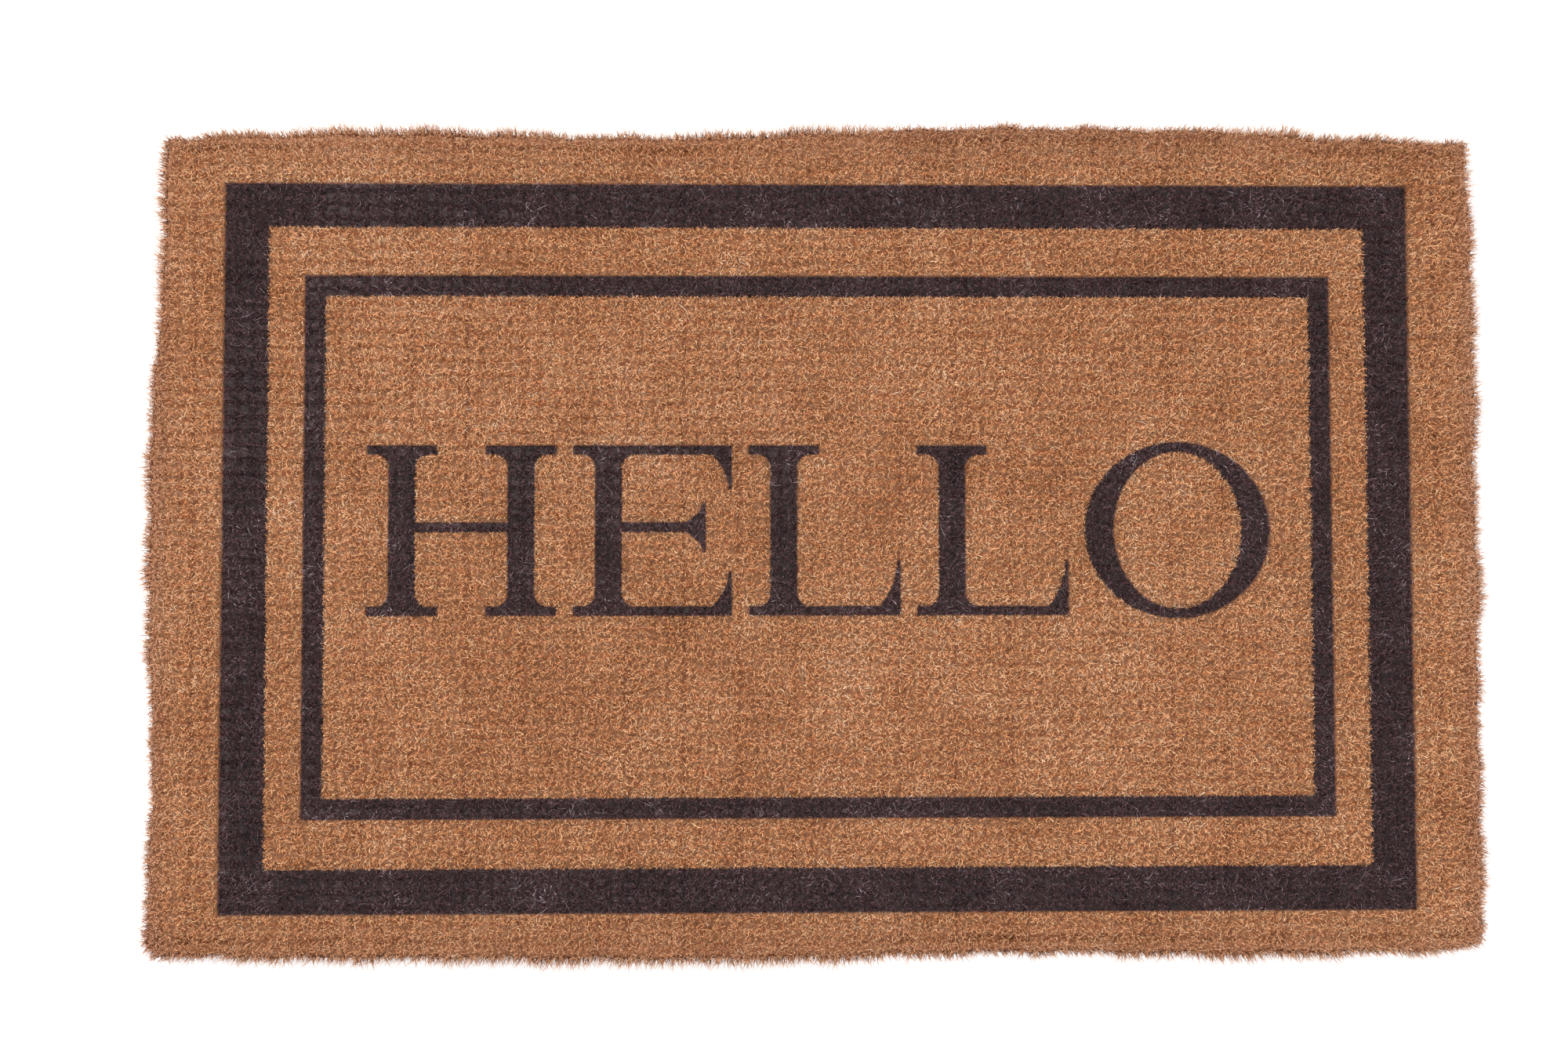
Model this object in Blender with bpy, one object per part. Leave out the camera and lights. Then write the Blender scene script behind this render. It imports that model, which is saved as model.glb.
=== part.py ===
"""Door mat of coconut fibre, woven by hand: a base of warp and weft yarns, rows of fibre pile, and a plaited
braid lashed on round the edge.

Metres, +Z up. X runs along the mat's length, the warps with it. The origin is on the floor, under the middle.
"""

import math

import bmesh
import bpy

# Overall size, over the tips of the pile.
LENGTH = 1.219
WIDTH = 0.762
THICKNESS = 0.038

# Between pieces that touch, and under the yarns that don't reach the floor.
CLEARANCE = 0.0003
FLOOR_CLEARANCE = 0.0004

# The yarns of the base. One cord stands for a strip of the real yarns, which lie 13 mm apart.
WARP_COUNT = 14
WARP_RADIUS = 0.0020
WEFT_PASSES = 24  # even, so that both ends of the yarn lie at the back
WEFT_RADIUS = 0.00175
WEFT_TURN_CHAMFER = 0.003

# The braid along each edge, and the yarn that lashes it to the base.
BRAID_WIDTH = 0.022
BRAID_HEIGHT = 0.0095
BRAID_ROUNDING = 0.003
LASHING_RADIUS = 0.0010

# The pile. Its outer tufts splay past the braid, and their tips roll over in a shoulder.
PILE_OVERHANG = 0.012
PILE_CORNER_RADIUS = 0.022
PILE_SHOULDER = 0.010

ARC_SEGMENTS = 4
WELD = 1e-6

# How far apart the yarns of the base lie, and the heights of the lashing, from the floor up.
YARN_APART = WARP_RADIUS + WEFT_RADIUS + CLEARANCE
LASHING_LOW = CLEARANCE + LASHING_RADIUS
GROOVE_TOP = LASHING_LOW + LASHING_RADIUS + CLEARANCE
LASHING_HIGH = BRAID_HEIGHT + CLEARANCE + LASHING_RADIUS


def edge_lines(half_size):
    """Distances from the middle of the mat to the lines that run along an edge, outermost first."""
    braid_outer = half_size - PILE_OVERHANG
    braid_inner = braid_outer - BRAID_WIDTH
    yarn = braid_inner - CLEARANCE - WEFT_RADIUS
    hook = yarn - WEFT_RADIUS - CLEARANCE - LASHING_RADIUS
    warp = hook - LASHING_RADIUS - CLEARANCE - WARP_RADIUS
    return {"braid_outer": braid_outer, "braid_inner": braid_inner, "yarn": yarn, "hook": hook, "warp": warp}


ENDS = edge_lines(LENGTH / 2)
SIDES = edge_lines(WIDTH / 2)

WARP_PITCH = 2 * SIDES["warp"] / (WARP_COUNT - 1)
PASS_PITCH = 2 * ENDS["yarn"] / (WEFT_PASSES - 1)
WARP_LINES = [-SIDES["warp"] + i * WARP_PITCH for i in range(WARP_COUNT)]
PASS_LINES = [-ENDS["yarn"] + i * PASS_PITCH for i in range(WEFT_PASSES)]

# A straight run of weft from over one warp to under the next passes both at YARN_APART.
WEFT_RISE = YARN_APART / math.sqrt(1 - (2 * YARN_APART / WARP_PITCH) ** 2)

# The weave lies on the floor, or higher where a thick braid's lashing would stand above it. The pile rests on it.
HALF_WEAVE = WEFT_RISE + WEFT_RADIUS
WARP_HEIGHT = max(FLOOR_CLEARANCE + HALF_WEAVE, LASHING_HIGH + LASHING_RADIUS - HALF_WEAVE)
PILE_BASE = WARP_HEIGHT + HALF_WEAVE + CLEARANCE
ROOT_BASE = WARP_HEIGHT + WARP_RADIUS + CLEARANCE
ROOT_SETBACK = WEFT_RADIUS + 2 * LASHING_RADIUS + 3 * CLEARANCE


def clear_scene():
    for thing in list(bpy.data.objects):
        bpy.data.objects.remove(thing, do_unlink=True)


def collection(name):
    found = bpy.data.collections.new(name)
    bpy.context.scene.collection.children.link(found)
    return found


def material(name, colour, roughness):
    found = bpy.data.materials.new(name)
    found.use_nodes = True
    shader = found.node_tree.nodes["Principled BSDF"]
    shader.inputs["Base Color"].default_value = (*colour, 1.0)
    shader.inputs["Roughness"].default_value = roughness
    shader.inputs["Metallic"].default_value = 0.0
    found.diffuse_color = (*colour, 1.0)
    return found


def add_part(name, data, finish):
    part = bpy.data.objects.new(name, data)
    if not data.materials:
        data.materials.append(finish)
    PARTS.objects.link(part)
    return part


def add_cutter(name, data):
    cutter = bpy.data.objects.new(name, data)
    cutter.hide_render = True
    cutter.display_type = "WIRE"
    CUTTERS.objects.link(cutter)
    return cutter


def boolean(part, cutter, operation):
    step = part.modifiers.new(cutter.name, "BOOLEAN")
    step.operation = operation
    step.object = cutter
    step.solver = "EXACT"


def yarn(name, points, radius, bevel_resolution, finish):
    """A yarn of round section along straight runs from point to point."""
    curve = bpy.data.curves.new(name, "CURVE")
    curve.dimensions = "3D"
    curve.bevel_depth = radius
    curve.bevel_resolution = bevel_resolution
    curve.use_fill_caps = True
    spline = curve.splines.new("POLY")
    spline.points.add(len(points) - 1)
    for point, place in zip(spline.points, points):
        point.co = (*place, 1.0)
    return add_part(name, curve, finish)


def finished_mesh(drawn):
    """The mesh that an object's curve or modifiers give, with its loose caps welded. The object goes."""
    evaluated = drawn.evaluated_get(bpy.context.evaluated_depsgraph_get())
    mesh = bpy.data.meshes.new_from_object(evaluated)
    mesh.name = drawn.name
    bpy.data.objects.remove(drawn)
    shape = bmesh.new()
    shape.from_mesh(mesh)
    bmesh.ops.remove_doubles(shape, verts=shape.verts, dist=WELD)
    shape.to_mesh(mesh)
    shape.free()
    return mesh


def prism_mesh(name, outline, length):
    """A mesh of a flat outline in X and Y, drawn out along Z by the given length about zero."""
    curve = bpy.data.curves.new(name, "CURVE")
    curve.dimensions = "2D"
    curve.fill_mode = "BOTH"
    curve.extrude = length / 2
    spline = curve.splines.new("POLY")
    spline.points.add(len(outline) - 1)
    spline.use_cyclic_u = True
    for point, (x, y) in zip(spline.points, outline):
        point.co = (x, y, 0.0, 1.0)
    drawn = bpy.data.objects.new(name, curve)
    PARTS.objects.link(drawn)
    return finished_mesh(drawn)


def rounded_rectangle(half_x, half_y, radius):
    """The outline's points, anticlockwise, with a quarter circle at each corner."""
    points = []
    for corner in range(4):
        turn = math.radians(90 * corner)
        across = half_x if corner in (0, 3) else -half_x
        up = half_y if corner in (0, 1) else -half_y
        centre_x = across - math.copysign(radius, across)
        centre_y = up - math.copysign(radius, up)
        for i in range(ARC_SEGMENTS + 1):
            angle = turn + math.radians(90) * i / ARC_SEGMENTS
            points.append((centre_x + radius * math.cos(angle), centre_y + radius * math.sin(angle)))
    return points


def add_box(shape, low, high):
    """A closed box between two corners, added to a bmesh."""
    made = bmesh.ops.create_cube(shape, size=1.0)["verts"]
    for vert in made:
        for axis in range(3):
            vert.co[axis] = high[axis] if vert.co[axis] > 0 else low[axis]


def boxes_mesh(name, boxes):
    shape = bmesh.new()
    for low, high in boxes:
        add_box(shape, low, high)
    mesh = bpy.data.meshes.new(name)
    shape.to_mesh(mesh)
    shape.free()
    return mesh


def loft_mesh(name, rings):
    """A closed skin over rings of equally many points, from the lowest ring to the highest."""
    shape = bmesh.new()
    rows = [[shape.verts.new(place) for place in ring] for ring in rings]
    count = len(rows[0])
    for lower, upper in zip(rows, rows[1:]):
        for i in range(count):
            j = (i + 1) % count
            shape.faces.new((lower[i], lower[j], upper[j], upper[i]))
    shape.faces.new(list(reversed(rows[0])))
    shape.faces.new(rows[-1])
    mesh = bpy.data.meshes.new(name)
    shape.to_mesh(mesh)
    shape.free()
    return mesh


def make_warps():
    end = ENDS["braid_inner"] - CLEARANCE
    for i, y in enumerate(WARP_LINES):
        ends = [(-end, y, WARP_HEIGHT), (end, y, WARP_HEIGHT)]
        yarn(f"warp_yarn_{i + 1:02d}", ends, WARP_RADIUS, 2, YARN_FINISH)


def make_weft():
    """One yarn to and fro across the mat, over one warp and under the next, turning outside the last warps."""
    turn = SIDES["yarn"]
    chamfer = WEFT_TURN_CHAMFER
    points = []
    for i, x in enumerate(PASS_LINES):
        towards_front = i % 2 == 0
        lines = list(reversed(WARP_LINES)) if towards_front else WARP_LINES
        side = 1 if towards_front else -1
        heights = [WARP_HEIGHT + WEFT_RISE * (1 if (k + i) % 2 else -1) for k in range(WARP_COUNT)]
        if not towards_front:
            heights.reverse()
        start = (x, side * turn, heights[0])
        if i:
            start = (x, side * (turn - chamfer), heights[0])
            points.append((x - chamfer, side * turn, heights[0]))
        points.append(start)
        points += [(x, y, z) for y, z in zip(lines, heights)]
        if i < WEFT_PASSES - 1:
            points.append((x, -side * (turn - chamfer), heights[-1]))
            points.append((x + chamfer, -side * turn, heights[-1]))
        else:
            points.append((x, -side * turn, heights[-1]))
    yarn("weft_yarn", points, WEFT_RADIUS, 1, YARN_FINISH)


def make_braid(name, half_length, lines, across, stations):
    """A flat plait along one edge, with a groove under it at each stitch.

    across is the unit step outwards in X or Y, and stations are the stitches' places along the edge.
    """
    along_x = across[0] == 0
    middle = (lines["braid_outer"] + lines["braid_inner"]) / 2
    outline = rounded_rectangle(BRAID_WIDTH / 2, BRAID_HEIGHT / 2, BRAID_ROUNDING)
    mesh = prism_mesh(name, outline, 2 * half_length)
    part = add_part(name, mesh, BRAID_FINISH)
    part.location = (across[0] * middle, across[1] * middle, BRAID_HEIGHT / 2)
    part.rotation_euler = (math.radians(90), 0, math.radians(90) if along_x else 0)

    half_groove = LASHING_RADIUS + CLEARANCE
    reach = BRAID_WIDTH
    boxes = []
    for at in stations:
        near = middle - reach
        far = middle + reach
        if along_x:
            ys = sorted((across[1] * near, across[1] * far))
            boxes.append(((at - half_groove, ys[0], -BRAID_HEIGHT), (at + half_groove, ys[1], GROOVE_TOP)))
        else:
            xs = sorted((across[0] * near, across[0] * far))
            boxes.append(((xs[0], at - half_groove, -BRAID_HEIGHT), (xs[1], at + half_groove, GROOVE_TOP)))
    boolean(part, add_cutter(f"{name}_grooves", boxes_mesh(f"{name}_grooves", boxes)), "DIFFERENCE")


def make_lashing(name, lines, across, stations):
    """A yarn wound round the braid, which hooks the edge of the weft at each station."""
    outside = lines["braid_outer"] + CLEARANCE + LASHING_RADIUS
    points = []
    for at in stations:
        turn = [
            (lines["braid_inner"], LASHING_HIGH),
            (lines["hook"], LASHING_HIGH),
            (lines["hook"], LASHING_LOW),
            (outside, LASHING_LOW),
            (outside, LASHING_HIGH),
        ]
        for out, z in turn:
            x, y = (at, across[1] * out) if across[0] == 0 else (across[0] * out, at)
            points.append((x, y, z))
    yarn(name, points, LASHING_RADIUS, 1, LASHING_FINISH)


def make_edges():
    long_half = ENDS["braid_outer"]
    short_half = SIDES["braid_inner"] - CLEARANCE
    turns = [x + PASS_PITCH / 2 for x in PASS_LINES[:-1]]
    gaps = [y + WARP_PITCH / 2 for y in WARP_LINES[:-1]]
    edges = (
        ("front", long_half, SIDES, (0, -1), turns[0::2]),
        ("back", long_half, SIDES, (0, 1), turns[1::2]),
        ("left", short_half, ENDS, (-1, 0), gaps[0::2]),
        ("right", short_half, ENDS, (1, 0), gaps[0::2]),
    )
    for edge, half_length, lines, across, stations in edges:
        make_braid(f"{edge}_edge_braid", half_length, lines, across, stations)
        make_lashing(f"{edge}_lashing", lines, across, stations)


def pile_envelope():
    """The whole pile's outer shape: sides that splay out from the braid, and a rounded shoulder."""
    shoulder_base = THICKNESS - PILE_SHOULDER
    steps = [(PILE_OVERHANG, PILE_BASE - PILE_SHOULDER)]
    for i in range(ARC_SEGMENTS):
        angle = math.radians(90) * i / ARC_SEGMENTS
        inset = PILE_OVERHANG * (1 - math.sin(angle))
        steps.append((inset, PILE_BASE + (shoulder_base - PILE_BASE) * (1 - math.cos(angle))))
    for i in range(ARC_SEGMENTS + 1):
        angle = math.radians(90) * i / ARC_SEGMENTS
        inset = PILE_SHOULDER * (1 - math.cos(angle))
        steps.append((inset, shoulder_base + PILE_SHOULDER * math.sin(angle)))
    rings = []
    for inset, z in steps:
        outline = rounded_rectangle(LENGTH / 2 - inset, WIDTH / 2 - inset, PILE_CORNER_RADIUS - inset)
        rings.append([(x, y, z) for x, y in outline])
    return add_cutter("pile_envelope", loft_mesh("pile_envelope", rings))


def add_row(name, low_x, high_x, envelope):
    """A strip of pile between two places along the mat, cut from the whole pile's shape."""
    slab = boxes_mesh(name, [((low_x, -WIDTH, PILE_BASE), (high_x, WIDTH, 2 * THICKNESS))])
    row = add_part(name, slab, PILE_FINISH)
    boolean(row, envelope, "INTERSECT")
    return row


def inner_row_mesh(envelope):
    """The strip between two passes of the weft, with its roots standing on the warps."""
    half = (PASS_PITCH - CLEARANCE) / 2
    row = add_row("pile_row", -half, half, envelope)
    root_x = PASS_PITCH / 2 - ROOT_SETBACK
    root_y = SIDES["warp"] + WARP_RADIUS
    box = ((-root_x, -root_y, ROOT_BASE), (root_x, root_y, (PILE_BASE + THICKNESS) / 2))
    roots = add_cutter("pile_roots", boxes_mesh("pile_roots", [box]))
    boolean(row, roots, "UNION")
    mesh = finished_mesh(row)
    bpy.data.objects.remove(roots)
    return mesh


def make_pile():
    """A strip of pile between each two passes of the weft, and one past the last pass at each end."""
    envelope = pile_envelope()
    inner = inner_row_mesh(envelope)
    near = ENDS["yarn"] + CLEARANCE / 2
    add_row("pile_row_01", -LENGTH, -near, envelope)
    for i, x in enumerate(PASS_LINES[:-1]):
        row = add_part(f"pile_row_{i + 2:02d}", inner, PILE_FINISH)
        row.location.x = x + PASS_PITCH / 2
    add_row(f"pile_row_{WEFT_PASSES + 1:02d}", near, LENGTH, envelope)


clear_scene()
PARTS = collection("door_mat")
CUTTERS = collection("cutters")
YARN_FINISH = material("coir_yarn", (0.36, 0.20, 0.09), 0.85)
BRAID_FINISH = material("coir_braid", (0.33, 0.18, 0.08), 0.85)
LASHING_FINISH = material("lashing_yarn", (0.42, 0.25, 0.12), 0.8)
PILE_FINISH = material("coir_pile", (0.48, 0.24, 0.09), 0.9)
make_warps()
make_weft()
make_edges()
make_pile()
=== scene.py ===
"""A hand-woven door mat of coconut fibre: a brush pile with a print, a woven base and a plaited edge."""

import math

import bmesh
import bpy
from mathutils import Euler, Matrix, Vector


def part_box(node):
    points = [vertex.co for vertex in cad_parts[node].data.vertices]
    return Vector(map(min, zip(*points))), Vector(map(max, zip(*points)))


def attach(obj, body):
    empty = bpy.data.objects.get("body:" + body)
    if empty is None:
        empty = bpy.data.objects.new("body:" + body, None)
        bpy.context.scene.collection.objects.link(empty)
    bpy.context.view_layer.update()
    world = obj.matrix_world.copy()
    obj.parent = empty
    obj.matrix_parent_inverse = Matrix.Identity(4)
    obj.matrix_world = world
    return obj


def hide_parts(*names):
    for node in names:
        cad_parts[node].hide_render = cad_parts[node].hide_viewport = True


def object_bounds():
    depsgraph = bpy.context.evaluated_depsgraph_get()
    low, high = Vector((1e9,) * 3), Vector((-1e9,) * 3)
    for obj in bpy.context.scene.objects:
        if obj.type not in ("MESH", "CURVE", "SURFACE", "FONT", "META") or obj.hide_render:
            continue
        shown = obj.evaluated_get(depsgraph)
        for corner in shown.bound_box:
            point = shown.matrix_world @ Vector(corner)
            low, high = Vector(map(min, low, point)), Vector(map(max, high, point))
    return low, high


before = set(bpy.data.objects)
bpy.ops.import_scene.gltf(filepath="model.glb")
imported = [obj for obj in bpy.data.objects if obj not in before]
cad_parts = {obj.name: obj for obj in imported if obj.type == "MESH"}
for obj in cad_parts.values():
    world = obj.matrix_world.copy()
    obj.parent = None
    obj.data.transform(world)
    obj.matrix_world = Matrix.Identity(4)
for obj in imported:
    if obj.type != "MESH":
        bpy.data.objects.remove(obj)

CAD_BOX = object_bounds()
LENGTH = CAD_BOX[1].x - CAD_BOX[0].x
WIDTH = CAD_BOX[1].y - CAD_BOX[0].y
TOP = CAD_BOX[1].z
MM = 0.001

# ----------------------------------------------------------------------------------------------------
# Nodes: one small class for a value in a shader or geometry tree, and one for the tree.


class Value:
    """A socket whose arithmetic adds Math nodes to its tree."""

    def __init__(self, tree, socket):
        self.tree = tree
        self.socket = socket

    def maths(self, operation, *others, clamp=False):
        sockets = {0: self}
        for i, other in enumerate(others):
            sockets[i + 1] = other
        return self.tree.add("ShaderNodeMath", {"operation": operation, "use_clamp": clamp}, sockets)

    def __add__(self, other):
        return self.maths("ADD", other)

    def __radd__(self, other):
        return self.maths("ADD", other)

    def __sub__(self, other):
        return self.maths("SUBTRACT", other)

    def __rsub__(self, other):
        return self.maths("MULTIPLY", -1.0) + other

    def __mul__(self, other):
        return self.maths("MULTIPLY", other)

    def __rmul__(self, other):
        return self.maths("MULTIPLY", other)

    def __truediv__(self, other):
        return self.maths("DIVIDE", other)

    def __pow__(self, other):
        return self.maths("POWER", other)

    def __neg__(self):
        return self.maths("MULTIPLY", -1.0)

    def __abs__(self):
        return self.maths("ABSOLUTE")

    def floor(self):
        return self.maths("FLOOR")

    def cos(self):
        return self.maths("COSINE")

    def root(self):
        return self.maths("SQRT")

    def low(self, *others):
        found = self
        for other in others:
            found = found.maths("MINIMUM", other)
        return found

    def high(self, *others):
        found = self
        for other in others:
            found = found.maths("MAXIMUM", other)
        return found

    def clamped(self):
        return self.maths("ADD", 0.0, clamp=True)

    def step(self, start, end):
        """0 below start and 1 past end, with a straight run between. start may be the higher one."""
        return ((self - start) / (end - start)).clamped()


class Tree:
    """A node tree, to which add() adds any node."""

    def __init__(self, tree):
        self.tree = tree

    @staticmethod
    def find(sockets, key):
        if isinstance(key, int):
            return sockets[key]
        for socket in sockets:
            if socket.identifier == key:
                return socket
        return sockets[key]

    def add(self, kind, settings=None, sockets=None, output=0):
        """Adds a node of that type with its settings and its sockets' values or links. Gives one output."""
        node = self.tree.nodes.new(kind)
        for name, value in (settings or {}).items():
            if name == "stops":
                self.set_stops(node.color_ramp, value)
            else:
                setattr(node, name, value)
        for key, value in (sockets or {}).items():
            socket = self.find(node.inputs, key)
            if isinstance(value, (list, tuple)) and value and isinstance(value[0], Value):
                for one in value:
                    self.tree.links.new(one.socket, socket)
            elif isinstance(value, Value):
                self.tree.links.new(value.socket, socket)
            else:
                socket.default_value = value
        return Value(self, self.find(node.outputs, output)) if len(node.outputs) else None

    @staticmethod
    def set_stops(ramp, stops):
        while len(ramp.elements) < len(stops):
            ramp.elements.new(0.5)
        for element, (place, colour) in zip(ramp.elements, stops):
            element.position = place
            element.color = (*colour, 1.0)

    def other(self, value, output):
        """Another output of the node that a value comes from."""
        return Value(self, self.find(value.socket.node.outputs, output))

    def split(self, vector):
        x = self.add("ShaderNodeSeparateXYZ", sockets={0: vector})
        return x, self.other(x, 1), self.other(x, 2)

    def join(self, x, y, z):
        return self.add("ShaderNodeCombineXYZ", sockets={0: x, 1: y, 2: z})

    def vector(self, operation, a, b=None, scale=None):
        sockets = {0: a}
        if b is not None:
            sockets[1] = b
        if scale is not None:
            sockets["Scale"] = scale
        output = 1 if operation in ("LENGTH", "DOT_PRODUCT") else 0
        return self.add("ShaderNodeVectorMath", {"operation": operation}, sockets, output)

    def mix(self, share, a, b, blend="MIX"):
        """A mix of two colours."""
        colours = [c if isinstance(c, Value) else (*c, 1.0) for c in (a, b)]
        return self.add("ShaderNodeMix", {"data_type": "RGBA", "blend_type": blend},
                        {"Factor_Float": share, "A_Color": colours[0], "B_Color": colours[1]}, "Result_Color")


# ----------------------------------------------------------------------------------------------------
# Camera, floor and lights.

LENS = 50.0
CAMERA_PLACE = Vector((-0.0815, -0.0870, 2.0313))
CAMERA_TURN = Euler([math.radians(a) for a in (2.994, -1.394, -0.113)])
FLOOR_SIZE = 14.0


def make_camera():
    data = bpy.data.cameras.new("camera")
    data.lens = LENS
    data.clip_end = 100.0
    camera = bpy.data.objects.new("camera", data)
    camera.location = CAMERA_PLACE
    camera.rotation_euler = CAMERA_TURN
    bpy.context.scene.collection.objects.link(camera)
    bpy.context.scene.camera = camera


def make_floor():
    shape = bmesh.new()
    bmesh.ops.create_grid(shape, x_segments=1, y_segments=1, size=FLOOR_SIZE / 2)
    mesh = bpy.data.meshes.new("floor")
    shape.to_mesh(mesh)
    shape.free()
    floor = bpy.data.objects.new("floor", mesh)
    floor.location.z = CAD_BOX[0].z - 0.0005
    bpy.context.scene.collection.objects.link(floor)
    finish = bpy.data.materials.new("pale_floor")
    finish.use_nodes = True
    shader = finish.node_tree.nodes["Principled BSDF"]
    shader.inputs["Base Color"].default_value = (0.93, 0.93, 0.93, 1.0)
    shader.inputs["Roughness"].default_value = 0.9
    shader.inputs["Specular IOR Level"].default_value = 0.1
    mesh.materials.append(finish)


def make_light(name, place, target, size, power, colour):
    data = bpy.data.lights.new(name, "AREA")
    data.shape = "SQUARE"
    data.size = size
    data.energy = power
    data.color = colour
    light = bpy.data.objects.new(name, data)
    light.location = place
    light.rotation_euler = (Vector(target) - Vector(place)).to_track_quat("-Z", "Y").to_euler()
    bpy.context.scene.collection.objects.link(light)


def make_studio():
    bpy.context.scene.view_settings.view_transform = "Standard"
    make_camera()
    make_floor()
    make_light("key", (-1.6, 1.8, 2.6), (0, 0, 0), 1.6, 100, (1.0, 0.98, 0.95))
    make_light("fill", (2.2, -0.6, 2.4), (0, 0, 0), 2.4, 50, (0.96, 0.98, 1.0))
    make_light("front", (0.0, -2.6, 1.8), (0, 0, 0), 2.4, 40, (0.97, 0.98, 1.0))
    world = bpy.data.worlds.new("studio")
    world.use_nodes = True
    background = world.node_tree.nodes["Background"]
    background.inputs["Color"].default_value = (1.0, 1.0, 1.0, 1.0)
    background.inputs["Strength"].default_value = 1.0
    bpy.context.scene.world = world


# ----------------------------------------------------------------------------------------------------
# The print: two borders and a greeting in serif capitals, as signed distances over the mat.

# The stencil was laid a little off the mat's middle.
PRINT_X = 0.7 * MM
PRINT_Y = -3.7 * MM
MARGIN_X = 62 * MM
MARGIN_Y = 46 * MM
WIDE_BORDER = 41 * MM
BORDER_GAP_X = 33 * MM
BORDER_GAP_Y = 44.5 * MM
NARROW_BORDER = 19.4 * MM

CAP_HEIGHT = 157 * MM
TEXT_RISE = 14 * MM
STEM = 25 * MM
HAIRLINE = 9.5 * MM
SERIF = 9 * MM
SERIF_REACH = 20 * MM
BRACKET = 12 * MM
BOWL = 27 * MM
OVERSHOOT = 3 * MM
BAR_RISE = 3 * MM
TERMINAL_FOOT = 3.5 * MM
TERMINAL_HOLLOW = 15 * MM
E_TERMINAL = 32 * MM
E_MIDDLE_TERMINAL = 18 * MM
E_MIDDLE_SHORTER = 24 * MM
L_TERMINAL = 42 * MM
LETTER_WIDTHS = {"H": 174 * MM, "E": 146 * MM, "L": 140 * MM, "O": 172 * MM}
LETTER_SPACE = 15 * MM


def box_distance(u, v, half_u, half_v):
    """Distance to a box about zero, from coordinates that are already absolute."""
    return (u - half_u).high(v - half_v)


def pillar(u, v):
    """An upright stem about zero with a bracketed serif at head and foot, from absolute coordinates."""
    half = CAP_HEIGHT / 2
    stem = box_distance(u, v, STEM / 2, half)
    serif = (u - (STEM / 2 + SERIF_REACH)).high(v - half, (half - SERIF) - v)
    beside = (u - STEM / 2).high(0.0)
    below = ((half - SERIF) - v).high(0.0)
    hollow = BRACKET - ((BRACKET - beside) ** 2.0 + (BRACKET - below) ** 2.0).root()
    bracket = (beside - BRACKET).high(below - BRACKET, hollow, v - half)
    return stem.low(serif, bracket)


def letter_h(x, y):
    apart = (LETTER_WIDTHS["H"] - STEM) / 2 - SERIF_REACH
    stems = pillar(abs(abs(x) - apart), abs(y))
    bar = box_distance(abs(x), abs(y - BAR_RISE), apart, HAIRLINE / 2)
    return stems.low(bar)


def terminal(along, up, reach):
    """A hollow-sided serif on an arm's end: along is measured back from its end, and up from the arm."""
    rest = (1.0 - up / reach).high(0.0)
    hollow = along - TERMINAL_FOOT - rest * rest * TERMINAL_HOLLOW
    return hollow.high(-along, up - reach, -up - HAIRLINE / 2)


def armed_letter(x, y, width, both):
    """An E where both is true, and an L where it is false."""
    half = CAP_HEIGHT / 2
    stem_x = x + (width / 2 - STEM / 2 - SERIF_REACH)
    end = width / 2
    up = abs(y) if both else -y
    arm = (up - half).high((half - SERIF) - up, -stem_x, x - end)
    tip = terminal(end - x, (half - SERIF) - up, E_TERMINAL if both else L_TERMINAL)
    found = pillar(abs(stem_x), abs(y)).low(arm, tip)
    if both:
        aside = abs(y - BAR_RISE) - HAIRLINE / 2
        middle_end = end - E_MIDDLE_SHORTER
        middle_tip = terminal(middle_end - x, aside, E_MIDDLE_TERMINAL)
        found = found.low(aside.high(-stem_x, x - middle_end), middle_tip)
    return found


def letter_o(x, y):
    half_x, half_y = LETTER_WIDTHS["O"] / 2, CAP_HEIGHT / 2 + OVERSHOOT
    hole_x, hole_y = half_x - BOWL, half_y - HAIRLINE
    outer = (((x / half_x) ** 2.0 + (y / half_y) ** 2.0).root() - 1.0) * half_y
    inner = (((x / hole_x) ** 2.0 + (y / hole_y) ** 2.0).root() - 1.0) * hole_x
    return outer.high(-inner)


def greeting(x, y):
    """HELLO, in capitals drawn here."""
    word = "HELLO"
    at = -(sum(LETTER_WIDTHS[letter] for letter in word) + LETTER_SPACE * (len(word) - 1)) / 2
    found = None
    for letter in word:
        width = LETTER_WIDTHS[letter]
        across = x - (at + width / 2)
        if letter == "H":
            distance = letter_h(across, y)
        elif letter == "O":
            distance = letter_o(across, y)
        else:
            distance = armed_letter(across, y, width, letter == "E")
        found = distance if found is None else found.low(distance)
        at += width + LETTER_SPACE
    return found


def border(x, y, half_x, half_y, band):
    outer = box_distance(abs(x), abs(y), half_x, half_y)
    inner = box_distance(abs(x), abs(y), half_x - band, half_y - band)
    return outer.high(-inner)


def print_distance(x, y, with_greeting):
    """Distance to the dyed areas, below 0 inside them."""
    x = x - PRINT_X
    y = y - PRINT_Y
    wide = LENGTH / 2 - MARGIN_X, WIDTH / 2 - MARGIN_Y
    narrow = wide[0] - WIDE_BORDER - BORDER_GAP_X, wide[1] - WIDE_BORDER - BORDER_GAP_Y
    found = border(x, y, *wide, WIDE_BORDER).low(border(x, y, *narrow, NARROW_BORDER))
    return found.low(greeting(x, y - TEXT_RISE)) if with_greeting else found


# ----------------------------------------------------------------------------------------------------
# Coir.

DYE_EDGE = 1.6 * MM
DYE_WANDER = 1.6 * MM
DYE_DEPTH = 12 * MM

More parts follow.
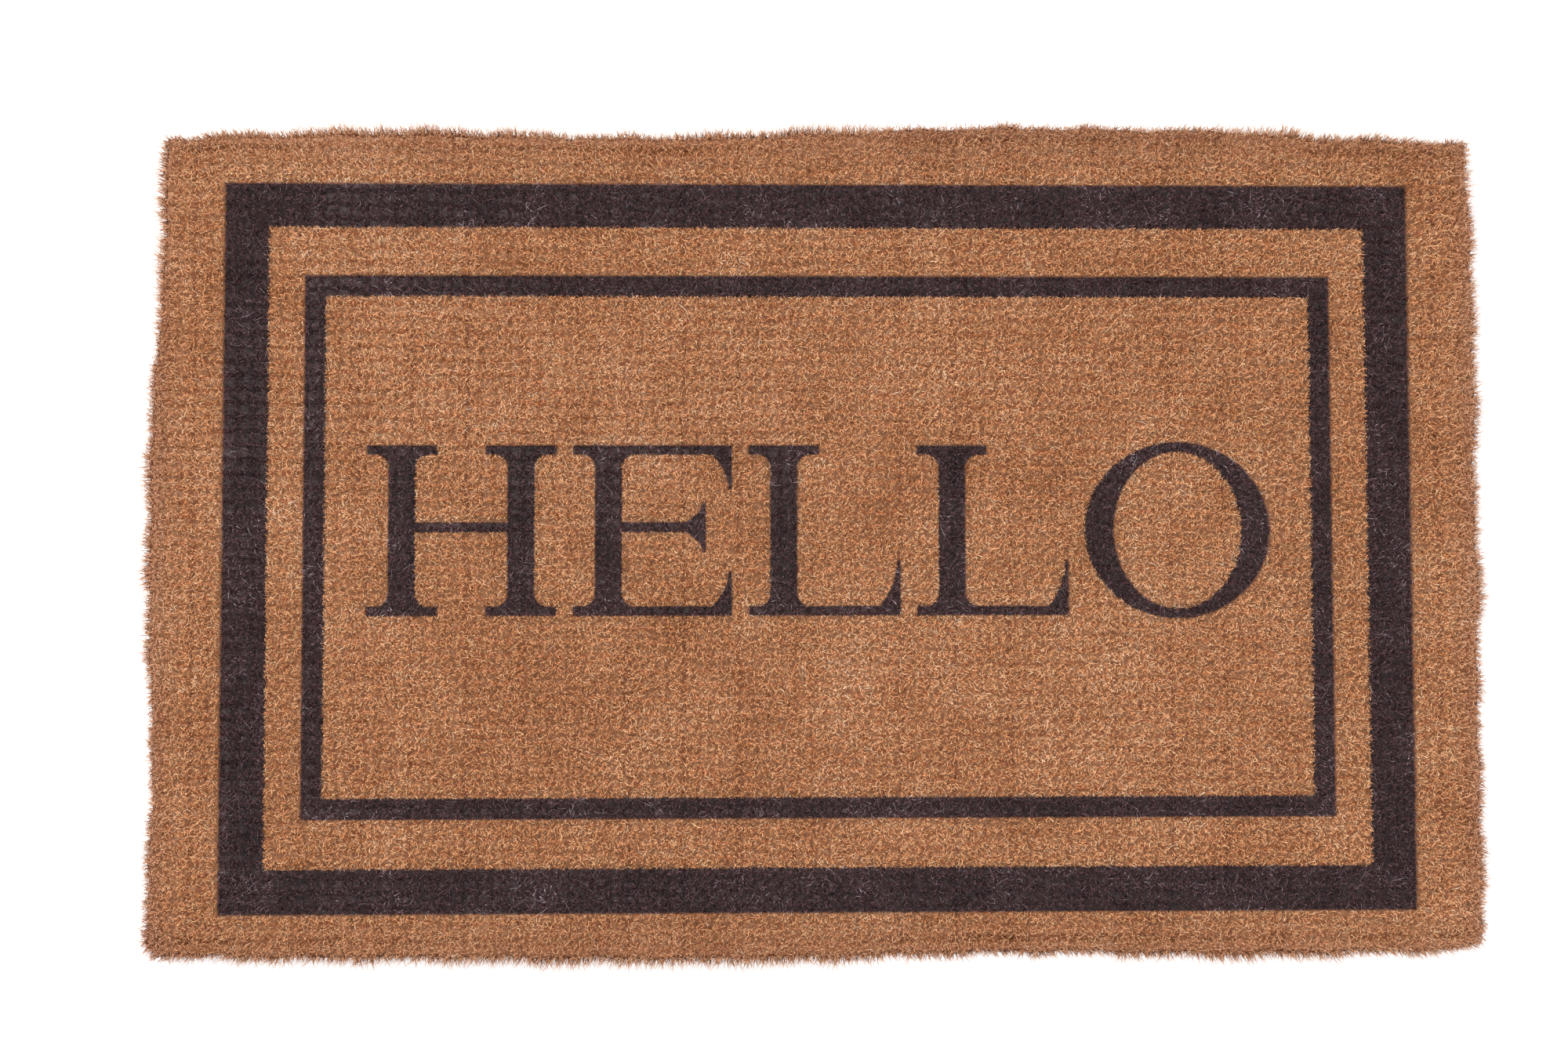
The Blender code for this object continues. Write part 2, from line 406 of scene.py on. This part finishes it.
NATURAL_FIBRE = (
    (0.00, (0.23, 0.086, 0.029)),
    (0.20, (0.48, 0.205, 0.081)),
    (0.55, (0.67, 0.342, 0.168)),
    (0.85, (0.77, 0.505, 0.305)),
    (1.00, (0.88, 0.720, 0.555)),
)
DYED_FIBRE = (
    (0.00, (0.012, 0.004, 0.005)),
    (0.45, (0.068, 0.029, 0.032)),
    (0.85, (0.150, 0.083, 0.092)),
    (1.00, (0.460, 0.380, 0.420)),
)


def noise(tree, place, scale, detail=2.0, roughness=0.5):
    return tree.add("ShaderNodeTexNoise",
                    sockets={"Vector": place, "Scale": scale, "Detail": detail, "Roughness": roughness})


def coir_pile(name, with_greeting):
    """Loose coir fibre of many shades, dyed where the print falls."""
    finish = bpy.data.materials.new(name)
    finish.use_nodes = True
    tree = Tree(finish.node_tree)
    shader = finish.node_tree.nodes["Principled BSDF"]
    place = tree.add("ShaderNodeTexCoord", output="Object")
    x, y, z = tree.split(place)
    tone = tree.add("ShaderNodeAttribute", {"attribute_name": "tone"}, output="Fac")

    mottle = noise(tree, place, 22.0, 3.0)
    cloud = noise(tree, place, 5.0, 2.0)
    grain = noise(tree, place, 900.0, 2.0, 0.6)
    shade = (tone * 0.80 + grain * 0.22 + (mottle - 0.5) * 0.50 + (cloud - 0.5) * 0.30 + 0.03).clamped()
    natural = tree.add("ShaderNodeValToRGB", {"stops": NATURAL_FIBRE}, {0: shade})
    dyed_shade = (tone * 0.88 + grain * 0.2 + (mottle - 0.5) * 0.6 - 0.02).clamped()
    dyed = tree.add("ShaderNodeValToRGB", {"stops": DYED_FIBRE}, {0: dyed_shade})

    # Some fibres are redder and some more golden.
    hue = (tone * 57.0).maths("FRACT")
    natural = tree.mix(1.0, natural, tree.mix(hue, (1.06, 0.90, 0.80), (0.96, 1.06, 1.08)), "MULTIPLY")

    # Dust and loose fluff dull the splayed tufts along the edges, and the same darker mix is painted shade
    # where the edges roll down, most along the long sides.
    along = tree.add("ShaderNodeAttribute", {"attribute_name": "along"}, output="Fac")
    tip_dust_and_shade = along.step(0.0, 0.4) * 0.5
    long_side_dust_and_shade = (abs(y) - WIDTH / 2).step(-44 * MM, -4 * MM)
    short_side_dust_and_shade = (abs(x) - LENGTH / 2).step(-28 * MM, -3 * MM)
    natural = tree.mix(long_side_dust_and_shade * tip_dust_and_shade, natural, (0.38, 0.195, 0.125))
    natural = tree.mix(short_side_dust_and_shade * tip_dust_and_shade, natural, (0.48, 0.270, 0.190))

    wander = (noise(tree, place, 260.0, 2.0) - 0.5) * (2 * DYE_WANDER)
    distance = print_distance(x, y, with_greeting) + wander
    dye = distance.step(DYE_EDGE / 2, -DYE_EDGE / 2) * z.step(TOP - DYE_DEPTH - 4 * MM, TOP - DYE_DEPTH)
    colour = tree.mix(dye, natural, dyed)

    # Less light reaches down between the fibres.
    depth = tree.mix(along.step(-0.05, 0.45), (0.36, 0.30, 0.27), (1.0, 1.0, 1.0))
    colour = tree.mix(1.0, colour, depth, "MULTIPLY")
    finish.node_tree.links.new(colour.socket, shader.inputs["Base Color"])
    roughness = 0.62 - grain * 0.2
    finish.node_tree.links.new(roughness.socket, shader.inputs["Roughness"])
    shader.inputs["Specular IOR Level"].default_value = 0.3
    return finish


# ----------------------------------------------------------------------------------------------------
# The pile's body, in strips, under the loose ends of its fibres.

FIBRE_DEPTH = 8.5 * MM
TUFT = 13.15 * MM
CELLS_PER_TUFT = 3
CORE_TOP = TOP - FIBRE_DEPTH
CORE_SHOULDER = 8 * MM
CORE_BASE = 13 * MM
CORE_INSET = 2 * MM
CORE_FOOT = 4.5 * MM
CORE_LIP = 3.5 * MM
TUFT_DOME_ACROSS = 1.1 * MM
TUFT_DOME_ALONG = 0.7 * MM
SHOULDER_WALL = 0.8
GROOVE_IN = 12 * MM
GROOVE_WIDTH = 3.5 * MM
GROOVE_DEPTH = 3 * MM
CORNER = 10 * MM

# How far the hand-woven outline runs out past its true rectangle, by place along each side.
BACK_BOW = ((-600, -5), (-540, -2), (-400, 1), (-170, -3), (190, 8), (370, 6), (490, -2), (600, -5))
FRONT_BOW = ((-600, -3), (-440, -1), (-90, 2), (200, -3), (400, 0), (560, -2), (600, -5))
LEFT_BOW = ((-340, 5), (-230, 2), (-40, 7), (80, 7), (300, -4))
RIGHT_BOW = ((-340, 4), (-120, 3), (-40, 6), (40, 3), (140, 5), (280, 4), (370, 0))


def bow(points, at):
    """The height of a smooth line through the points, which are in millimetres, at a place along it."""
    at /= MM
    if at <= points[0][0]:
        return points[0][1] * MM
    for (start, low), (end, high) in zip(points, points[1:]):
        if at <= end:
            share = (1 - math.cos(math.pi * (at - start) / (end - start))) / 2
            return (low + (high - low) * share) * MM
    return points[-1][1] * MM


def ripple(at, phase):
    """A small irregular wave of the edge, a few tufts long."""
    return 0.9 * MM * math.sin(at * 71 + phase) + 0.6 * MM * math.sin(at * 163 + 2.3 * phase)


def outline_y(x, side):
    """Where the pile ends across the mat at x. side is 1 for the back and -1 for the front."""
    reach = WIDTH / 2 + bow(BACK_BOW if side > 0 else FRONT_BOW, x) + ripple(x, 1.0 + side)
    beyond = abs(x) - (LENGTH / 2 - CORNER)
    if beyond > 0:
        reach -= CORNER * (1 - math.sqrt(max(0.0, 1 - min(1.0, beyond / CORNER) ** 2)))
    return side * reach


def outline_x(y, side):
    """Where the pile ends along the mat at y. side is 1 for the right and -1 for the left."""
    reach = LENGTH / 2 + bow(RIGHT_BOW if side > 0 else LEFT_BOW, y) + ripple(y, 4.0 + side)
    return side * reach


def core_height(x, y, from_edge):
    """The top of the pile's body: a dome for each tuft, and a round shoulder near the edge."""
    dome = TUFT_DOME_ACROSS * math.cos(math.tau * y / TUFT)
    dome += TUFT_DOME_ALONG * math.cos(math.tau * x / TUFT)
    groove = GROOVE_DEPTH * math.exp(-(((from_edge - GROOVE_IN) / GROOVE_WIDTH) ** 2))
    inward = min(1.0, max(0.0, from_edge / CORE_SHOULDER))
    return CORE_TOP + dome * inward - groove - CORE_SHOULDER * (1 - math.sqrt(1 - (1 - inward) ** 2))


def core_strip(name, low_x, high_x, outer):
    """A closed strip of the pile's body from low_x to high_x.

    outer is -1 or 1 where the strip ends the mat, and else 0. Its faces say how thickly fibres grow on them:
    shag is for the pile's top, and wall for its outer sides.
    """
    steps_x = max(3, round((high_x - low_x) / TUFT * CELLS_PER_TUFT))
    steps_y = round(WIDTH / TUFT * CELLS_PER_TUFT)
    shape = bmesh.new()
    shag = shape.faces.layers.float.new("shag")
    wall = shape.faces.layers.float.new("wall")

    def place(i, j):
        share_y = 2 * j / steps_y - 1
        side_y = 1 if share_y > 0 else -1
        x = low_x + (high_x - low_x) * i / steps_x
        if outer:
            nominal_y = share_y * WIDTH / 2
            edge_x = outline_x(nominal_y, outer) - outer * CORE_INSET
            inner_x = high_x if outer < 0 else low_x
            share_x = abs(x - inner_x) / (high_x - low_x)
            x = inner_x + (edge_x - inner_x) * share_x
        else:
            edge_x = None
        y = abs(share_y) * (outline_y(x, side_y) - side_y * CORE_INSET)
        from_edge = abs(outline_y(x, side_y)) - CORE_INSET - abs(y)
        if edge_x is not None:
            from_edge = min(from_edge, abs(edge_x - x))
        return Vector((x, y, core_height(x, y, from_edge)))

    grid = [[shape.verts.new(place(i, j)) for j in range(steps_y + 1)] for i in range(steps_x + 1)]
    for i in range(steps_x):
        for j in range(steps_y):
            face = shape.faces.new((grid[i][j], grid[i + 1][j], grid[i + 1][j + 1], grid[i][j + 1]))
            face[shag] = 1.0
            if j in (0, steps_y - 1) or outer and i == (0 if outer < 0 else steps_x - 1):
                face[wall] = SHOULDER_WALL

    ring = [grid[i][0] for i in range(steps_x + 1)]
    ring += [grid[steps_x][j] for j in range(1, steps_y + 1)]
    ring += [grid[i][steps_y] for i in range(steps_x - 1, -1, -1)]
    ring += [grid[0][j] for j in range(steps_y - 1, 0, -1)]
    edge_y = {id(v) for i in range(steps_x + 1) for v in (grid[i][0], grid[i][steps_y])}
    edge_x = set()
    if outer:
        edge_x = {id(v) for v in grid[0 if outer < 0 else steps_x]}
    # The outer sides hang past the woven base in a lip, which the cut sides and the bottom don't have.
    # Each level is a share of the height, how far in it lies, and how far it hangs.
    levels = (
        (0.66, 0.0, 0.0),
        (0.33, CORE_FOOT / 3, 0.0),
        (0.1, CORE_FOOT, CORE_LIP),
        (0.0, CORE_FOOT + CORE_LIP, 0.0),
    )
    rows = [ring]
    for share, inset, drop in levels:
        row = []
        for vert in ring:
            out = Vector((0, 0, 0))
            if id(vert) in edge_y:
                out.y = -math.copysign(inset, vert.co.y)
            if id(vert) in edge_x:
                out.x = -outer * inset
            z = CORE_BASE + (vert.co.z - CORE_BASE) * share - (drop if out.length else 0)
            row.append(shape.verts.new((vert.co.x + out.x, vert.co.y + out.y, z)))
        rows.append(row)
    count = len(ring)
    for upper, lower in zip(rows[:-1], rows[1:]):
        for i in range(count):
            j = (i + 1) % count
            face = shape.faces.new((upper[j], upper[i], lower[i], lower[j]))
            outside = all(id(v) in edge_y for v in (ring[i], ring[j]))
            outside = outside or all(id(v) in edge_x for v in (ring[i], ring[j]))
            face[wall] = 1.0 if outside and lower is not rows[-1] else 0.0
    shape.faces.new(list(reversed(rows[-1])))
    bmesh.ops.recalc_face_normals(shape, faces=shape.faces)
    mesh = bpy.data.meshes.new(name)
    shape.to_mesh(mesh)
    shape.free()
    return mesh


# ----------------------------------------------------------------------------------------------------
# The fibres, as a geometry tree.

SIDE_LEAN = 0.10  # how far a fibre on a side leans out for each unit that it rises
TUFT_SPLAY = 38.0  # the same for a fibre at a tuft's edge, for each metre from the tuft's middle
FIBRE_INPUTS = (
    ("Short fibres", 196000.0),
    ("Curled fibres", 56000.0),
    ("Stray hairs", 900.0),
    ("Side fibres", 275000.0),
    ("Tuft pitch", TUFT),
)


def named_attribute(tree, name, kind="FLOAT"):
    return tree.add("GeometryNodeInputNamedAttribute", {"data_type": kind}, {"Name": name}, "Attribute")


def store(tree, geometry, name, value, kind="FLOAT"):
    return tree.add("GeometryNodeStoreNamedAttribute", {"data_type": kind, "domain": "POINT"},
                    {"Geometry": geometry, "Name": name, "Value": value}, "Geometry")


def random_number(tree, low, high, seed):
    return tree.add("FunctionNodeRandomValue", {"data_type": "FLOAT"}, {2: low, 3: high, "Seed": seed}, 1)


def random_vector(tree, low, high, seed):
    return tree.add("FunctionNodeRandomValue", {"data_type": "FLOAT_VECTOR"}, {0: low, 1: high, "Seed": seed})


def fibre_layer(tree, body, faces, density, pitch, seed, joints, radius, length, lean, curl, tone, sink):
    """Fibres scattered over a body's faces: straight ones cut off blunt, or jointed ones with a thin tip.

    faces is the attribute that says where they grow, and joints is how many straight parts a fibre has.
    length and tone are ranges, lean is how far a fibre leans at random for each unit that it rises, and curl
    is how far its tip is bent aside. With a sink, fibres start that far below their places, and length is a
    share of the way from there to the top.
    """
    blunt = 1.0 if joints == 1 else 0.0
    points = tree.add("GeometryNodeDistributePointsOnFaces", {"distribute_method": "RANDOM"},
                      {"Mesh": body, "Density": named_attribute(tree, faces) * density, "Seed": seed})
    out_x, out_y, out_z = tree.split(tree.other(points, "Normal"))

    # Each fibre sets out from the surface, more upwards than the side faces do, away from its tuft's middle.
    x, y, z = tree.split(tree.add("GeometryNodeInputPosition"))
    aside_x = x - ((x / pitch).floor() + 0.5) * pitch
    aside_y = y - ((y / pitch).floor() + 0.5) * pitch
    lean_x = out_x * SIDE_LEAN + aside_x * TUFT_SPLAY
    lean_y = out_y * SIDE_LEAN + aside_y * TUFT_SPLAY
    way = tree.join(lean_x, lean_y, out_z.high(0.6))
    tidy = out_z.high(0.0) * 0.6 + 0.4
    loose = random_vector(tree, (-lean, -lean, -0.3), (lean, lean, 0.3), seed + 1)
    way = tree.vector("ADD", way, tree.vector("SCALE", loose, scale=tidy))
    bend = random_vector(tree, (-curl, -curl, -0.5 * curl), (curl, curl, 0.1 * curl), seed + 2)
    points = store(tree, points, "curl", tree.vector("SCALE", bend, scale=tidy), "FLOAT_VECTOR")
    points = store(tree, points, "tone", random_number(tree, *tone, seed + 3))

    cone = tree.add("GeometryNodeMeshCone", {"fill_type": "NGON"},
                    {"Vertices": 3, "Side Segments": joints, "Depth": 1.0,
                     "Radius Top": blunt, "Radius Bottom": 1.0 - blunt})
    cone = store(tree, cone, "along", tree.split(tree.add("GeometryNodeInputPosition"))[2])
    spin = tree.join(0.0, 0.0, random_number(tree, 0.0, math.tau, seed + 4))
    spin = tree.add("FunctionNodeEulerToRotation", sockets={0: spin})
    turn = tree.add("FunctionNodeAlignRotationToVector", {"axis": "Z"}, {"Rotation": spin, "Vector": way})
    thick = random_number(tree, 0.65 * radius, 1.25 * radius, seed + 5)
    tall = random_number(tree, *length, seed + 6) * (TOP + sink - z if sink else tidy)
    size = tree.join(thick, thick, tall)
    if sink:
        down = 0.0, 0.0, -sink
        points = tree.add("GeometryNodeSetPosition", sockets={"Geometry": points, "Offset": down})
    fibres = tree.add("GeometryNodeInstanceOnPoints",
                      sockets={"Points": points, "Instance": cone, "Rotation": turn, "Scale": size})
    fibres = tree.add("GeometryNodeRealizeInstances", sockets={0: fibres})
    curved = named_attribute(tree, "along") ** 1.8
    bend = tree.vector("SCALE", named_attribute(tree, "curl", "FLOAT_VECTOR"), scale=curved)
    fibres = tree.add("GeometryNodeSetPosition", sockets={"Geometry": fibres, "Offset": bend})
    return tree.add("GeometryNodeSetShadeSmooth", sockets={"Geometry": fibres, "Shade Smooth": joints > 1})


def fibre_tree():
    """A strip's body with short fibres, longer curled ones, a few stray hairs and upright side fibres."""
    group = bpy.data.node_groups.new("coir_fibres", "GeometryNodeTree")
    group.interface.new_socket("Geometry", in_out="INPUT", socket_type="NodeSocketGeometry")
    for label, value in FIBRE_INPUTS:
        made = group.interface.new_socket(label, in_out="INPUT", socket_type="NodeSocketFloat")
        made.default_value = value
    group.interface.new_socket("Seed", in_out="INPUT", socket_type="NodeSocketInt")
    group.interface.new_socket("Finish", in_out="INPUT", socket_type="NodeSocketMaterial")
    group.interface.new_socket("Geometry", in_out="OUTPUT", socket_type="NodeSocketGeometry")

    tree = Tree(group)
    body = tree.add("NodeGroupInput", output="Geometry")
    short, curled, stray, side, pitch = (tree.other(body, label) for label, value in FIBRE_INPUTS)
    seed = tree.other(body, "Seed")
    # Faces, density, joints, radius, length, lean, curl, tone, sink.
    kinds = (
        ("shag", short, 1, 0.42 * MM, (7.5 * MM, 11 * MM), 0.75, 1.5 * MM, (0.0, 0.9), 0.0),
        ("shag", curled, 2, 0.46 * MM, (8 * MM, 12 * MM), 0.7, 6 * MM, (0.1, 1.0), 0.0),
        ("shag", stray, 6, 0.36 * MM, (10 * MM, 15 * MM), 0.9, 13 * MM, (0.92, 1.0), 0.0),
        ("wall", side, 2, 0.45 * MM, (0.55, 0.95), 0.22, 5 * MM, (0.0, 0.95), 4.5 * MM),
    )
    layers = []
    for i, (faces, density, *settings) in enumerate(kinds):
        layers.append(fibre_layer(tree, body, faces, density, pitch, seed + 20 * i, *settings))
    brush = tree.add("GeometryNodeJoinGeometry", sockets={0: layers})
    # The body itself is darker down the sides, where it shows between the fibres: its tone and along are set
    # low as painted shade in the gaps between them.
    upwards = tree.split(tree.add("GeometryNodeInputNormal"))[2].high(0.0)
    body = store(tree, store(tree, body, "tone", upwards * 0.4 - 0.15), "along", upwards * 0.1 - 0.1)
    whole = tree.add("GeometryNodeJoinGeometry", sockets={0: [body, brush]})
    finish = tree.other(seed, "Finish")
    whole = tree.add("GeometryNodeSetMaterial", sockets={"Geometry": whole, "Material": finish})
    output = group.nodes.new("NodeGroupOutput")
    group.links.new(whole.socket, output.inputs[0])
    return group


def grown(name, mesh, group, settings):
    """A plain mesh object from a body mesh and a geometry tree with its inputs set."""
    drawn = bpy.data.objects.new(name, mesh)
    bpy.context.scene.collection.objects.link(drawn)
    step = drawn.modifiers.new(name, "NODES")
    step.node_group = group
    identifiers = {s.name: s.identifier for s in group.interface.items_tree if s.in_out == "INPUT"}
    for label, value in settings.items():
        step[identifiers[label]] = value
    evaluated = drawn.evaluated_get(bpy.context.evaluated_depsgraph_get())
    final = bpy.data.meshes.new_from_object(evaluated)
    bpy.data.objects.remove(drawn)
    piece = bpy.data.objects.new(name, final)
    bpy.context.scene.collection.objects.link(piece)
    return piece


def settle(piece, slot, *nodes):
    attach(piece, "root")
    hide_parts(*nodes)


def make_pile():
    fibres = fibre_tree()
    printed = coir_pile("coir_pile_printed", True)
    plain = coir_pile("coir_pile_bordered", False)
    rows = sorted(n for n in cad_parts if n.startswith("pile_row_"))
    text_reach = LENGTH / 2 - MARGIN_X - WIDE_BORDER - BORDER_GAP_X
    boxes = [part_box(row) for row in rows]
    joins = [(left[1].x + right[0].x) / 2 for left, right in zip(boxes, boxes[1:])]
    joins = [boxes[0][0].x] + joins + [boxes[-1][1].x]
    for i, row in enumerate(rows):
        outer = -1 if i == 0 else 1 if i == len(rows) - 1 else 0
        finish = printed if abs(joins[i] + joins[i + 1]) / 2 < text_reach else plain
        body = core_strip(f"{row}_body", joins[i], joins[i + 1], outer)
        piece = grown(f"tufts_{i + 1:02d}", body, fibres, {"Seed": 100 * (i + 1), "Finish": finish})
        settle(piece, "coir_pile", row)


# ----------------------------------------------------------------------------------------------------
# The woven base, the plaited edge and its lashing.

YARN_STRANDS = 4  # real yarns, each way, for each one of the CAD's
CAD_WEFT_RADIUS = 1.75 * MM
CAD_WEFT_PASSES = 24
CAD_LASHING_RADIUS = 1.0 * MM
WARP_WOBBLE = 0.3 * MM
STITCH_APART = 25 * MM
STITCH_FLAT = 0.78  # the share of a stitch's width that lies flat
PLAIT_STEP = 42 * MM
PLAIT_POINTS = 14
YARN_LAY = 9 * MM


def rounded(points, times):
    """The line through the points with its corners cut off that many times."""
    for _ in range(times):
        cut = [points[0]]
        for a, b in zip(points, points[1:]):
            cut += [a.lerp(b, 0.25), a.lerp(b, 0.75)]
        points = cut + [points[-1]]
    return points


def add_tube(shape, points, across, up, sides, upright):
    """A closed tube of oval section. Its UV map runs along it in metres, and round it from 0 to 1.

    across and up are the half sizes of the section, and upright is a way that the tube never runs.
    """
    uv = shape.loops.layers.uv.verify()
    rings, run, runs = [], 0.0, []
    for i, point in enumerate(points):
        way = (points[min(i + 1, len(points) - 1)] - points[max(i - 1, 0)]).normalized()
        side = way.cross(upright).normalized()
        top = side.cross(way)
        wide, high = side * across, top * up
        turns = [math.tau * k / sides for k in range(sides)]
        rings.append([shape.verts.new(point + wide * math.cos(t) + high * math.sin(t)) for t in turns])
        run += (point - points[max(i - 1, 0)]).length
        runs.append(run)
    for i in range(len(rings) - 1):
        for k in range(sides):
            j = (k + 1) % sides
            face = shape.faces.new((rings[i][k], rings[i + 1][k], rings[i + 1][j], rings[i][j]))
            face.smooth = True
            for loop, (u, v) in zip(face.loops, ((i, k), (i + 1, k), (i + 1, k + 1), (i, k + 1))):
                loop[uv].uv = (runs[u], v / sides)
    shape.faces.new(rings[0])
    shape.faces.new(list(reversed(rings[-1])))


def finished(name, shape, finish):
    bmesh.ops.recalc_face_normals(shape, faces=shape.faces)
    mesh = bpy.data.meshes.new(name)
    shape.to_mesh(mesh)
    shape.free()
    mesh.materials.append(finish)
    piece = bpy.data.objects.new(name, mesh)
    bpy.context.scene.collection.objects.link(piece)
    return piece


def spun_coir(name, dark, light, plies, lay, ridge):
    """Coir fibre spun or bundled into a yarn: streaks along it, and a groove between its plies, bumped by
    ridge and painted darker as shade.
    """
    finish = bpy.data.materials.new(name)
    finish.use_nodes = True
    tree = Tree(finish.node_tree)
    shader = finish.node_tree.nodes["Principled BSDF"]
    along, around, _ = tree.split(tree.add("ShaderNodeTexCoord", output="UV"))
    place = tree.add("ShaderNodeTexCoord", output="Object")
    turn = (around * plies + along / lay) * math.pi
    ply_swell_and_shade = abs(turn.cos())
    spun = tree.join(along * 130.0, (around + along / lay / plies) * 26.0, 0.0)
    streaks = noise(tree, spun, 1.0, 3.0, 0.7)
    patches = noise(tree, place, 30.0, 2.0)
    # Where the plies dip into their groove the colour is painted darker as shade, along with the streaks and
    # patches.
    shade = (streaks * 0.9 + ply_swell_and_shade * 0.25 + (patches - 0.5) * 0.5 - 0.12).clamped()
    finish.node_tree.links.new(tree.mix(shade, dark, light).socket, shader.inputs["Base Color"])
    height = ply_swell_and_shade * ridge + streaks * 0.35
    bump = tree.add("ShaderNodeBump", sockets={"Strength": 0.8, "Distance": 0.6 * MM, "Height": height})
    finish.node_tree.links.new(bump.socket, shader.inputs["Normal"])
    shader.inputs["Roughness"].default_value = 0.8
    shader.inputs["Specular IOR Level"].default_value = 0.25
    return finish


def middle_of(node):
    low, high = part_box(node)
    return (low + high) / 2, (high - low) / 2


def make_base():
    yarn = spun_coir("spun_coir", (0.16, 0.075, 0.028), (0.55, 0.28, 0.125), 2, YARN_LAY, 1.0)
    warps = sorted(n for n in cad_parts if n.startswith("warp_yarn_"))
    centres = [middle_of(n) for n in warps]
    half_length, radius, z = centres[0][1].x, centres[0][1].z, centres[0][0].z
    first, last = centres[0][0].y, centres[-1][0].y
    count = (len(warps) - 1) * YARN_STRANDS + 1
    lines = [first + (last - first) * k / (count - 1) for k in range(count)]
    for i, node in enumerate(warps):
        shape = bmesh.new()
        for k in range(YARN_STRANDS * i - 1, YARN_STRANDS * i + YARN_STRANDS - 1):
            if 0 <= k < count:
                xs = [-half_length + 2 * half_length * j / 32 for j in range(33)]
                points = [Vector((x, lines[k] + WARP_WOBBLE * math.sin(23 * x + 5 * k), z)) for x in xs]
                add_tube(shape, points, radius, radius, 8, Vector((0, 0, 1)))
        settle(finished(f"warp_yarns_{i + 1:02d}", shape, yarn), "coir_yarn", node)

    middle, half = middle_of("weft_yarn")
    weft_radius = CAD_WEFT_RADIUS
    rise = half.z - weft_radius
    turn_y = half.y - weft_radius
    end_x = half.x - weft_radius
    passes = (CAD_WEFT_PASSES - 1) * YARN_STRANDS + 1
    points = []
    for i in range(passes):
        x = -end_x + 2 * end_x * i / (passes - 1)
        side = 1 if i % 2 == 0 else -1
        line = lines if side < 0 else list(reversed(lines))
        over = [1 if (k + i) % 2 else -1 for k in range(count)]
        if side > 0:
            over.reverse()
        points.append(Vector((x, side * turn_y, middle.z)))
        points += [Vector((x, y, middle.z + rise * o)) for y, o in zip(line, over)]
        points.append(Vector((x, -side * turn_y, middle.z)))
    shape = bmesh.new()
    add_tube(shape, rounded(points, 1), weft_radius, weft_radius, 4, Vector((1, 0, 0.2)).normalized())
    settle(finished("weft", shape, yarn), "coir_yarn", "weft_yarn")


def make_edge(edge, plait, twine):
    """The three-strand plait along an edge, and the twine that lashes it to the edge of the weave."""
    middle, half = middle_of(f"{edge}_edge_braid")
    long_way = Vector((1, 0, 0)) if half.x > half.y else Vector((0, 1, 0))
    out_way = Vector((0, 1, 0)) if half.x > half.y else Vector((1, 0, 0))
    if middle.dot(out_way) < 0:
        out_way = -out_way
    up = Vector((0, 0, 1))
    half_length = max(half.x, half.y)
    half_width = min(half.x, half.y)
    strand_up, strand_across = 0.55 * half.z, 0.42 * half_width
    sway, lift = half_width - strand_across, half.z - strand_up
    turns = max(1, round(2 * half_length / PLAIT_STEP))
    steps = turns * PLAIT_POINTS
    shape = bmesh.new()
    for strand in range(3):
        points = []
        for j in range(steps + 1):
            turn = math.tau * (turns * j / steps + strand / 3)
            along = (2 * j / steps - 1) * half_length
            place = middle + long_way * along + out_way * sway * math.sin(turn)
            points.append(place + up * lift * math.sin(2 * turn))
        add_tube(shape, points, strand_across, strand_up, 10, up)
    settle(finished(f"{edge}_plait", shape, plait), "coir_braid", f"{edge}_edge_braid")

    lash_middle, lash_half = middle_of(f"{edge}_lashing")
    radius = CAD_LASHING_RADIUS
    reach = lash_half.dot(Vector([abs(v) for v in out_way])) - radius
    centre = lash_middle.dot(out_way)
    run = lash_half.dot(long_way) - radius
    stitches = max(2, round(2 * run / STITCH_APART))
    low, high = lash_middle.z - lash_half.z + radius, lash_middle.z + lash_half.z - radius
    points = []
    upper, lower = 0.75 * high + 0.25 * low, 0.25 * high + 0.75 * low
    stitch = (
        (-STITCH_FLAT, high), (-1, upper), (-1, lower), (-STITCH_FLAT, low),
        (STITCH_FLAT, low), (1, lower), (1, upper), (STITCH_FLAT, high),
    )
    for j in range(stitches + 1):
        along = lash_middle.dot(long_way) - run + 2 * run * j / stitches
        for out, z in stitch:
            points.append(long_way * along + out_way * (centre + out * reach) + up * z)
    shape = bmesh.new()
    add_tube(shape, rounded(points, 2), radius, radius, 6, long_way)
    settle(finished(f"{edge}_twine", shape, twine), "lashing_yarn", f"{edge}_lashing")


def make_edges():
    plait = spun_coir("plaited_coir", (0.12, 0.054, 0.021), (0.45, 0.24, 0.115), 1, 60 * MM, 0.0)
    twine = spun_coir("lashing_twine", (0.19, 0.100, 0.045), (0.56, 0.33, 0.17), 2, 5 * MM, 1.0)
    for edge in ("front", "back", "left", "right"):
        make_edge(edge, plait, twine)


make_studio()
make_base()
make_edges()
make_pile()
